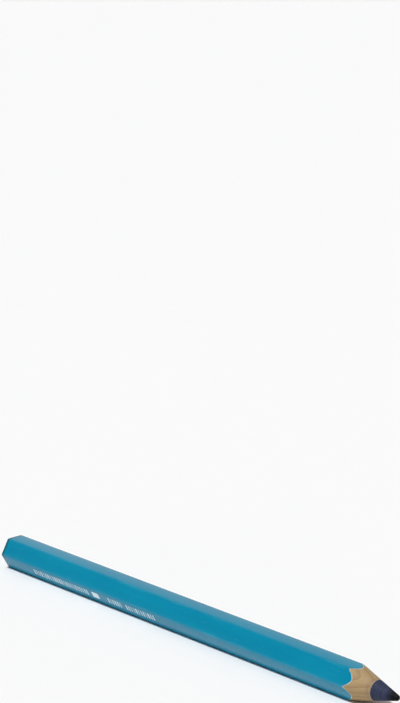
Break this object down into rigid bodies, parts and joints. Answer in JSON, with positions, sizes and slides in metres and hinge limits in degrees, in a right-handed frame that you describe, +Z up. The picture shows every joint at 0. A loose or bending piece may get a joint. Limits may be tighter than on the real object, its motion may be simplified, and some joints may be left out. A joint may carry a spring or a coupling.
{
  "type": "marking pencil",
  "caption": "Jumbo hexagonal wood-cased marking pencil with a thick dark waxy lead, turquoise lacquer, dipped rear end and a short sharpened point.",
  "frame": {"origin": "on the floor under the middle of the pencil, which lies on one facet", "axes": "+X along the pencil towards the sharpened tip, +Z up through the upper facet, +Y across the barrel to a long edge"},
  "size_m": [0.175, 0.0112, 0.01],
  "materials": {
    "marking_lead": "satin",
    "casing_wood": "matte",
    "slat_glue": "matte",
    "pale_primer": "matte",
    "turquoise_lacquer": "gloss",
    "foil_mark": "satin"
  },
  "bodies": {
    "root": {"lead_core": "marking_lead", "upper_slat": "casing_wood", "lower_slat": "casing_wood", "glue_film": "slat_glue", "ground_coat": "pale_primer", "colour_coat": "turquoise_lacquer", "end_dip": "turquoise_lacquer"}
  },
  "joints": []
}
